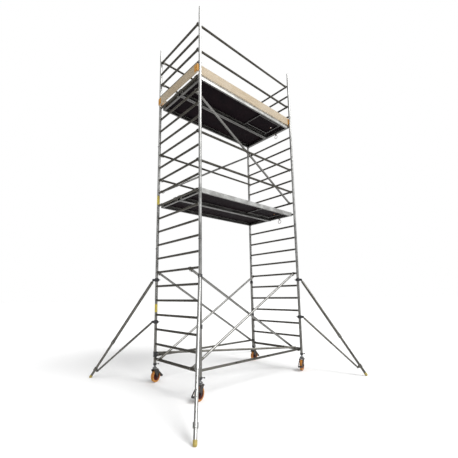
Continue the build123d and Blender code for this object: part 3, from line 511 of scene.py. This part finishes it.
materials = {
    "aluminium": aluminium(),
    "platform_aluminium": platform_aluminium(),
    "cast_grey": cast_grey(),
    "dark_steel": worn_black("coupler_steel", srgb(52, 52, 54), srgb(140, 138, 134), 0.48),
    "deck_ply": deck_ply(),
    "zinc_steel": zinc_steel(),
    "rusty_steel": rusty_steel(),
    "toe_board_ply": toe_board_ply(),
    "amber_plastic": moulded("amber_clip", srgb(206, 146, 52), srgb(176, 120, 42), 0.46, dirt=0.3),
    "castor_housing": worn_black("castor_black", srgb(40, 33, 31), srgb(120, 118, 115), 0.40),
    "wheel_tyre": moulded("amber_tyre", srgb(206, 140, 52), srgb(172, 106, 34), 0.40, 180.0,
                          srgb(74, 56, 38), 0.42, Subsurface_Weight=0.08, Coat_Weight=0.15),
    "wheel_hub": moulded("red_hub", srgb(104, 34, 24), srgb(72, 22, 18), 0.42, dirt=0.4),
    "foot_rubber": moulded("foot_rubber", srgb(196, 178, 104), srgb(164, 146, 80), 0.68, 140.0,
                           srgb(74, 66, 48), 0.55),
    "yellow_label": moulded("yellow_label", srgb(212, 192, 74), srgb(178, 160, 70), 0.5, 300.0,
                            srgb(96, 92, 74), 0.5),
}


def paint_frame():
    """Gives every CAD node its finished material."""
    slot_of = {part["node"]: part["material_slot"] for part in record["subparts"]}
    for name, made in nodes.items():
        for place in made.material_slots:
            place.material = materials[slot_of[name]]


# ---------------------------------------------------------------- ladder frames
def weld_path(x, z, side, rung_radius, turn):
    """A point on the seam between a rung and its upright, and the way out from the rung there."""
    out = Vector((math.cos(turn), 0, math.sin(turn)))
    reach = rung_radius * out.x
    y = side * (abs(corner_at["a"].y) - math.sqrt(UPRIGHT_R ** 2 - reach ** 2))
    return Vector((x, y, z)) + out * rung_radius, out


def add_weld(bm, x, z, side, rung_radius):
    """Adds one rippled bead round a rung's end."""
    steps, around = 44, 5
    rings = []
    for step in range(steps):
        turn = 2 * math.pi * step / steps
        centre, out = weld_path(x, z, side, rung_radius, turn)
        size = 0.0034 * (1 + 0.14 * math.cos(step * math.pi))
        inward = Vector((0, -side, 0))
        rings.append([
            bm.verts.new(centre + (out * math.cos(a) + inward * math.sin(a)) * size)
            for a in (2 * math.pi * k / around for k in range(around))
        ])
    for step in range(steps):
        here, there = rings[step], rings[(step + 1) % steps]
        for k in range(around):
            after = (k + 1) % around
            bm.faces.new((here[k], here[after], there[after], there[k]))


def make_welds():
    """Weld beads where each ladder frame's rungs meet its uprights."""
    for end in FRAME_ENDS:
        for level in LEVELS:
            low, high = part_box(f"{end}_{level}")
            x = (low.x + high.x) / 2
            bm = bmesh.new()
            for index in range(RUNGS_PER_FRAME):
                bottom = level == "lower" and index == 0
                z = low.z + FRAME_FOOT + index * RUNG_PITCH
                for side in (-1, 1):
                    add_weld(bm, x, z, side, BOTTOM_RUNG_R if bottom else RUNG_R)
            piece(f"{end}_{level}_welds", bm, materials["aluminium"], "tower")


def add_sleeve_patch(bm, centre, radius, low, high, facing, half_angle, thickness=0.0004):
    """Adds a thin curved patch round an upright, with rounded corners."""
    columns, rows = 24, 14
    height = high - low
    corner = LABEL_CORNER_R
    grids = []
    for shell in (radius, radius + thickness):
        grid = []
        for row in range(rows + 1):
            v = row / rows
            edge = min(v, 1 - v) * height
            inset = 0.0 if edge > corner else corner - math.sqrt(max(corner ** 2 - (corner - edge) ** 2, 0))
            reach = half_angle - inset / radius
            line = []
            for column in range(columns + 1):
                turn = facing + reach * (2 * column / columns - 1)
                x = centre.x + shell * math.cos(turn)
                y = centre.y + shell * math.sin(turn)
                line.append(bm.verts.new((x, y, low + v * height)))
            grid.append(line)
        grids.append(grid)
    inner, outer = grids
    for row in range(rows):
        for column in range(columns):
            for grid, flip in ((inner, True), (outer, False)):
                below, above = grid[row], grid[row + 1]
                corners = [below[column], below[column + 1], above[column + 1], above[column]]
                bm.faces.new(corners[::-1] if flip else corners)
    rim = [(0, c) for c in range(columns)] + [(r, columns) for r in range(rows)]
    rim += [(rows, c) for c in range(columns, 0, -1)] + [(r, 0) for r in range(rows, 0, -1)]
    for (row, column), (next_row, next_column) in zip(rim, rim[1:] + rim[:1]):
        bm.faces.new((inner[row][column], inner[next_row][next_column],
                      outer[next_row][next_column], outer[row][column]))


def make_labels():
    """Two plain labels on upright a."""
    facing = math.radians(-119)
    for name, low, high in (("label_low", 1.186, 1.327), ("label_high", 3.163, 3.340)):
        bm = bmesh.new()
        add_sleeve_patch(bm, corner_at["a"], UPRIGHT_R + 0.0002, low, high, facing, math.radians(100))
        piece(name, bm, materials["yellow_label"], "tower")


# ---------------------------------------------------------------- braces
def tube_islands(node):
    """The separate solids of a node, as lists of points."""
    bm = bmesh.new()
    bm.from_mesh(nodes[node].data)
    bmesh.ops.remove_doubles(bm, verts=bm.verts, dist=1e-5)
    bm.verts.ensure_lookup_table()
    seen = set()
    islands = []
    for start in bm.verts:
        if start.index in seen:
            continue
        seen.add(start.index)
        stack, points = [start], []
        while stack:
            vertex = stack.pop()
            points.append(vertex.co.copy())
            for edge in vertex.link_edges:
                other = edge.other_vert(vertex)
                if other.index not in seen:
                    seen.add(other.index)
                    stack.append(other)
        islands.append(points)
    bm.free()
    return islands


def tube_ends(points):
    """The centres of a tube's two end faces."""
    low = min(points, key=lambda p: p.x)
    high = max(points, key=lambda p: p.x)
    axis = (high - low).normalized()
    along = [p.dot(axis) for p in points]
    reach = 0.25 * (max(along) - min(along))
    ends = []
    for near in (min(along), max(along)):
        group = [p for p, t in zip(points, along) if abs(t - near) < reach]
        ends.append(sum(group, Vector()) / len(group))
    return ends


def make_rivets():
    """Rivets that hold each guardrail and diagonal on its claws."""
    for node in ("guardrails_lower", "guardrails_upper", "diagonals_lower", "diagonals_upper"):
        bm = bmesh.new()
        for points in tube_islands(node):
            first, last = tube_ends(points)
            for end, other in ((first, last), (last, first)):
                inward = (other - end).normalized()
                across, up = basis(inward)
                for gap, way in ((0.014, up), (0.014, -up), (0.034, across), (0.034, -across)):
                    spot = end + inward * gap + way * (BRACE_R - 0.0002)
                    add_rivet(bm, local_frame(spot, inward, way))
        piece(f"{node}_rivets", bm, materials["zinc_steel"], "tower")


# ---------------------------------------------------------------- platforms
def make_platform_fixings():
    """Rivets through the rails into the end beams, and flat screw heads along each deck's edges."""
    for level in DECK_LEVELS:
        for kind in ("hatch", "plain"):
            node = f"{level}_{kind}_platform_frame"
            deck_low, deck_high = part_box(f"{level}_{kind}_platform_deck")
            low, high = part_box(node)
            rail_bottom = deck_high.z - PLATFORM_RAIL_DEPTH
            bm = bmesh.new()
            for x_side in (-1, 1):
                x = x_side * (deck_high.x - 0.018)
                for y_side, y in ((-1, low.y), (1, high.y)):
                    for dx in (-0.011, 0.011):
                        for dz in (0.018, 0.050):
                            spot = Vector((x + dx, y, rail_bottom + dz))
                            add_rivet(bm, local_frame(spot, (1, 0, 0), (0, y_side, 0)), 0.005, 0.0026)
            pitch = 0.30
            count = int(2 * deck_high.x / pitch)
            for step in range(count + 1):
                x = -deck_high.x + 0.05 + step * (2 * deck_high.x - 0.1) / count
                for y in (deck_low.y + 0.010, deck_high.y - 0.010):
                    add_rivet(bm, local_frame((x, y, deck_high.z), (1, 0, 0), (0, 0, 1)), 0.0055, 0.0016)
            piece(f"{level}_{kind}_platform_rivets", bm, materials["zinc_steel"], "tower")


# ---------------------------------------------------------------- castors
def wheel_frame(corner):
    """The wheel's axis as Z, its centre as origin."""
    joint = joints[f"castor_{corner}_roll"]
    return local_frame(joint["pos_m"], (0, 0, 1), joint["axis"])


def tyre_profile():
    """Section of a cast tyre: crowned tread, rounded shoulders, two grooves, and a flange on the rim."""
    half = [(HUB_R + 0.0006, 0.0236), (HUB_R + 0.004, 0.0249), (HUB_R + 0.013, 0.0246)]
    for step in range(7):
        turn = math.radians(15 * step)
        half.append((0.0905 + 0.0085 * math.sin(turn), 0.0155 + 0.0088 * math.cos(turn)))
    half += [(0.0993, 0.0132), (0.0980, 0.0126), (0.0980, 0.0112), (0.0997, 0.0106), (WHEEL_R, 0.004)]
    return half + [(r, -t) for r, t in reversed(half)]


def hub_profile():
    """Section of a moulded hub: rim, thin web and long boss, as a loop."""
    top = [(0.0085, 0.0286), (0.0150, 0.0286), (0.0172, 0.0270), (0.0182, 0.0120), (0.0225, 0.0072),
           (0.0560, 0.0062), (0.0612, 0.0110), (0.0632, 0.0210), (0.0650, 0.0226), (0.0718, 0.0226),
           (HUB_R, 0.0212)]
    return top + [(r, -t) for r, t in reversed(top)]


def add_spokes(bm, matrix, count=8):
    """Adds tapered ribs on both faces of the hub's web."""
    outline = [(0.0165, 0.0055), (0.0165, 0.0250), (0.0300, 0.0172), (0.0480, 0.0168),
               (0.0640, 0.0205), (0.0640, 0.0055)]
    stand = Matrix(((1, 0, 0, 0), (0, 0, -1, 0), (0, 1, 0, 0), (0, 0, 0, 1)))
    for step in range(count):
        turn = Matrix.Rotation(2 * math.pi * step / count, 4, "Z")
        for side in (-1, 1):
            flip = Matrix.Rotation(math.pi, 4, "X") if side < 0 else Matrix.Identity(4)
            add_prism(bm, matrix @ turn @ flip @ stand, outline, -0.0020, 0.0020, bevel=0.0007)


def make_wheels():
    """Amber tyres and ribbed hubs in place of the plain wheels."""
    for corner in CORNERS:
        body = f"castor_{corner}_wheel"
        matrix = wheel_frame(corner)
        bm = bmesh.new()
        add_lathe(bm, matrix, tyre_profile(), 72)
        tyre = piece(f"tyre_{corner}", bm, materials["wheel_tyre"], body)
        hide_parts(body)
        bm = bmesh.new()
        add_lathe(bm, matrix, hub_profile(), 64)
        add_spokes(bm, matrix)
        piece(f"wheel_hub_{corner}", bm, materials["wheel_hub"], body)


def add_thread(bm, matrix, low, high, crest, depth, pitch):
    """Adds a screw thread about the matrix's Z axis."""
    around, per_turn = 28, 6
    rows = int((high - low) / pitch * per_turn)
    grid = []
    for row in range(rows + 1):
        z = low + (high - low) * row / rows
        line = []
        for step in range(around):
            turn = 2 * math.pi * step / around
            phase = (z / pitch - step / around) % 1.0
            wave = abs(2 * phase - 1)
            fade = smoothstep(0, pitch, z - low) * smoothstep(0, pitch, high - z)
            radius = crest - depth * smoothstep(0.25, 0.75, wave) * fade
            line.append(bm.verts.new(matrix @ Vector((radius * math.cos(turn), radius * math.sin(turn), z))))
        grid.append(line)
    for row in range(rows):
        for step in range(around):
            after = (step + 1) % around
            bm.faces.new((grid[row][step], grid[row][after], grid[row + 1][after], grid[row + 1][step]))
    bm.faces.new(grid[0][::-1])
    bm.faces.new(grid[-1])


def make_spindles():
    """Threaded height spindles with their flange and kingpin, in place of the plain ones."""
    for corner in CORNERS:
        body = f"castor_{corner}_spindle"
        low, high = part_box(body)
        centre = corner_at[corner].copy()
        centre.z = 0.0
        matrix = Matrix.Translation(centre)
        bearing_z = joints[f"castor_{corner}_swivel"]["pos_m"][2]
        bm = bmesh.new()
        add_thread(bm, matrix, bearing_z + 0.009, high.z, crest=0.0169, depth=0.0026, pitch=0.006)
        flange = [(0.0005, 0.0005), (0.0292, 0.0005), (0.0308, 0.0020), (0.0308, 0.0072), (0.0292, 0.0090),
                  (0.0205, 0.0096), (0.0188, 0.0125), (0.0005, 0.0125)]
        add_lathe(bm, matrix @ Matrix.Translation((0, 0, bearing_z)), flange, 48)
        pin = [(0.0005, low.z), (0.0120, low.z), (0.0145, low.z + 0.0015), (0.0145, low.z + 0.0055),
               (0.0096, low.z + 0.0060), (0.0096, bearing_z + 0.002), (0.0005, bearing_z + 0.002)]
        add_lathe(bm, matrix, pin, 32)
        spindle = piece(f"threaded_spindle_{corner}", bm, materials["zinc_steel"], body)
        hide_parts(body)


def make_castor_trim():
    """A bearing ring on each fork and grip ribs across each pedal's pad."""
    ring = [(0.0362, -0.0180), (0.0385, -0.0170), (0.0392, -0.0130), (0.0385, -0.0090), (0.0362, -0.0080)]
    rib = [(-0.0012, -0.002), (0.0012, -0.002), (0.0008, 0.0012), (-0.0008, 0.0012)]
    for corner in CORNERS:
        swivel = Vector(joints[f"castor_{corner}_swivel"]["pos_m"])
        brake = joints[f"castor_{corner}_brake"]
        bm = bmesh.new()
        add_lathe(bm, Matrix.Translation(swivel), ring, 56)
        piece(f"bearing_ring_{corner}", bm, materials["zinc_steel"], f"castor_{corner}_fork")
        out = (Vector(brake["pos_m"]) - swivel).to_2d().normalized().to_3d()
        slope = out * PAD_SLOPE[0] + Vector((0, 0, PAD_SLOPE[1]))
        first = swivel + out * FIRST_GRIP_REACH
        first.z = FIRST_GRIP_Z
        bm = bmesh.new()
        for step in range(GRIP_RIBS):
            place = local_frame(first + slope * (GRIP_PITCH * step), slope, brake["axis"])
            add_prism(bm, place, rib, -GRIP_HALF, GRIP_HALF, bevel=0.0003)
        body = f"castor_{corner}_pedal"
        piece(f"pedal_grip_{corner}", bm, materials["castor_housing"], body)


# ---------------------------------------------------------------- stabilisers
def leg_line(corner):
    """The middle of a stabiliser's foot, the way its leg runs down to it, and the way across the leg."""
    foot = Vector(mounts[f"foot_{corner}"]["pos_m"])
    base = corner_at[corner].copy()
    base.z = 0
    out = (foot - base).normalized()
    top = base + out * LEG_TOP_REACH
    top.z = LEG_TOP_Z
    end = foot.copy()
    end.z = FOOT_BALL_Z
    return end, (end - top).normalized(), Vector((-out.y, out.x, 0))


def loose_object(name, bm):
    """Turns a bmesh into an object for a passing step."""
    bmesh.ops.recalc_face_normals(bm, faces=bm.faces)
    mesh = bpy.data.meshes.new(name)
    bm.to_mesh(mesh)
    bm.free()
    made = bpy.data.objects.new(name, mesh)
    bpy.context.scene.collection.objects.link(made)
    return made


def drilled_tube(matrix, length, radius, bore, holes, hole_r):
    """A bmesh of a tube with a row of round holes right through it."""
    bm = bmesh.new()
    add_lathe(bm, matrix, [(bore, 0), (radius, 0), (radius, length), (bore, length)], 40)
    tube = loose_object("undrilled_tube", bm)
    bm = bmesh.new()
    for along in holes:
        place = matrix @ Matrix.Translation((0, 0, along)) @ Matrix.Rotation(math.pi / 2, 4, "X")
        add_prism(bm, place, circle(hole_r, 14), -2 * radius, 2 * radius)
    drill = loose_object("drill", bm)
    cut = tube.modifiers.new("holes", "BOOLEAN")
    cut.object = drill
    cut.operation = "DIFFERENCE"
    cut.solver = "EXACT"
    bpy.context.view_layer.update()
    shaped = bpy.data.meshes.new_from_object(tube.evaluated_get(bpy.context.evaluated_depsgraph_get()))
    for made in (tube, drill):
        mesh = made.data
        bpy.data.objects.remove(made)
        bpy.data.meshes.remove(mesh)
    bm = bmesh.new()
    bm.from_mesh(shaped)
    bpy.data.meshes.remove(shaped)
    return bm


def make_feet():
    """Drilled inner legs and ribbed rubber feet in place of the plain foot legs."""
    for corner in CORNERS:
        body = f"stabiliser_{corner}_foot_leg"
        end, along, across = leg_line(corner)
        inner_length = INNER_LEG_SHOWN + INNER_LEG_HIDDEN - 0.022
        matrix = local_frame(end - along * (INNER_LEG_SHOWN + INNER_LEG_HIDDEN), across, along)
        pitch = 0.075
        holes = [0.06 + pitch * k for k in range(int((inner_length - 0.20) / pitch))]
        bm = drilled_tube(matrix, inner_length, INNER_LEG_R, INNER_LEG_BORE, holes, hole_r=0.0055)
        leg = piece(f"inner_leg_{corner}", bm, materials["aluminium"], body)
        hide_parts(body)
        make_foot_cap(corner, end, along, body)


def make_foot_cap(corner, ball, along, body):
    """A rubber foot: ribbed sleeve and rounded end, worn flat where it stands."""
    groove = FOOT_BALL_R - 0.0012
    profile = [(INNER_LEG_R + 0.0003, -0.036), (groove, -0.036), (FOOT_BALL_R - 0.0003, -0.0345)]
    for k in range(3):
        at = -0.032 + k * 0.0085
        profile += [(FOOT_BALL_R, at), (groove, at + 0.001), (groove, at + 0.003), (FOOT_BALL_R, at + 0.004)]
    for step in range(9):
        turn = math.radians(-18 + 12.9 * step)
        profile.append((FOOT_BALL_R * math.cos(turn), FOOT_BALL_R * math.sin(turn)))
    profile += [(0.0004, FOOT_BALL_R), (0.0004, -0.018), (INNER_LEG_R + 0.0003, -0.020)]
    bm = bmesh.new()
    add_lathe(bm, local_frame(ball, (0, 0, 1), along), profile, 48)
    for vertex in bm.verts:
        if vertex.co.z < 0:
            vertex.co.z = 0.0
    piece(f"foot_cap_{corner}", bm, materials["foot_rubber"], body)


def make_leg_bolts():
    """The bolt through the throat that locks each leg's length."""
    for corner in CORNERS:
        end, along, across = leg_line(corner)
        bm = bmesh.new()
        at = end - along * (INNER_LEG_SHOWN + 0.028)
        for way in (across, -across):
            add_bolt(bm, local_frame(at + way * 0.0288, along, way))
        body = f"stabiliser_{corner}_arm"
        piece(f"leg_bolts_{corner}", bm, materials["zinc_steel"], body)


# ---------------------------------------------------------------- studio
def make_floor():
    """A wide, flat, pale floor."""
    bm = bmesh.new()
    bm.faces.new([bm.verts.new((x, y, 0.0)) for x, y in circle(FLOOR_R, 96)])
    mesh = bpy.data.meshes.new("studio_floor")
    bm.to_mesh(mesh)
    bm.free()
    mesh.materials.append(studio_floor())
    floor = bpy.data.objects.new("studio_floor", mesh)
    bpy.context.scene.collection.objects.link(floor)


def make_world():
    """A white studio to look at, whose light comes from above and from the -Y side."""
    world = bpy.data.worlds.new("studio")
    bpy.context.scene.world = world
    world.use_nodes = True
    tree = world.node_tree
    world_nodes = tree.nodes

    def link(source, target):
        tree.links.new(source, target)

    def span(value, low, high, to_low, to_high):
        node = world_nodes.new("ShaderNodeMapRange")
        link(value, node.inputs["Value"])
        for key, number in (("From Min", low), ("From Max", high), ("To Min", to_low), ("To Max", to_high)):
            node.inputs[key].default_value = number
        return node.outputs[0]

    def multiply(first, second):
        node = world_nodes.new("ShaderNodeMath")
        node.operation = "MULTIPLY"
        link(first, node.inputs[0])
        link(second, node.inputs[1])
        return node.outputs[0]

    way = world_nodes.new("ShaderNodeSeparateXYZ")
    link(world_nodes.new("ShaderNodeTexCoord").outputs["Generated"], way.inputs[0])
    height = span(way.outputs[2], 0.1, 0.9, ROOM_LOW, ROOM_HIGH)
    front = span(way.outputs[1], -1.0, 1.0, 1.25, 0.6)
    side = span(way.outputs[0], -1.0, 1.0, 0.75, 1.1)
    light = multiply(multiply(height, front), side)
    lit = world_nodes["Background"]
    lit.inputs["Color"].default_value = (1.0, 1.0, 1.0, 1.0)
    link(light, lit.inputs["Strength"])
    seen = world_nodes.new("ShaderNodeBackground")
    seen.inputs["Color"].default_value = (1.0, 1.0, 1.0, 1.0)
    choice = world_nodes.new("ShaderNodeMixShader")
    link(world_nodes.new("ShaderNodeLightPath").outputs["Is Camera Ray"], choice.inputs[0])
    link(lit.outputs[0], choice.inputs[1])
    link(seen.outputs[0], choice.inputs[2])
    link(choice.outputs[0], world_nodes["World Output"].inputs["Surface"])


def make_sun():
    """One large soft key light from high on the -Y side."""
    data = bpy.data.lights.new("key", "SUN")
    data.energy = KEY_POWER
    data.angle = math.radians(KEY_SPREAD)
    light = bpy.data.objects.new("key", data)
    light.rotation_euler = Vector(KEY_WAY).to_track_quat("-Z", "Y").to_euler()
    bpy.context.scene.collection.objects.link(light)


def make_camera():
    """The camera, at standing eye height near corner b, looking up a little."""
    forward = Vector((math.sin(YAW) * math.cos(PITCH), math.cos(YAW) * math.cos(PITCH), math.sin(PITCH)))
    right = Vector((math.cos(YAW), -math.sin(YAW), 0))
    up = right.cross(forward)
    rolled_right = right * math.cos(ROLL) + up * math.sin(ROLL)
    rolled_up = up * math.cos(ROLL) - right * math.sin(ROLL)
    data = bpy.data.cameras.new("camera")
    data.sensor_width = SENSOR_WIDTH
    data.lens = LENS
    data.shift_x, data.shift_y = LENS_SHIFT
    data.clip_end = 200.0
    camera = bpy.data.objects.new("camera", data)
    camera.matrix_world = Matrix((
        (rolled_right.x, rolled_up.x, -forward.x, EYE[0]),
        (rolled_right.y, rolled_up.y, -forward.y, EYE[1]),
        (rolled_right.z, rolled_up.z, -forward.z, EYE[2]),
        (0, 0, 0, 1),
    ))
    bpy.context.scene.collection.objects.link(camera)
    bpy.context.scene.camera = camera


paint_frame()
make_welds()
make_labels()
make_rivets()
make_platform_fixings()
make_wheels()
make_spindles()
make_castor_trim()
make_feet()
make_leg_bolts()
make_floor()
make_world()
make_sun()
make_camera()
bpy.context.scene.view_settings.view_transform = "Standard"
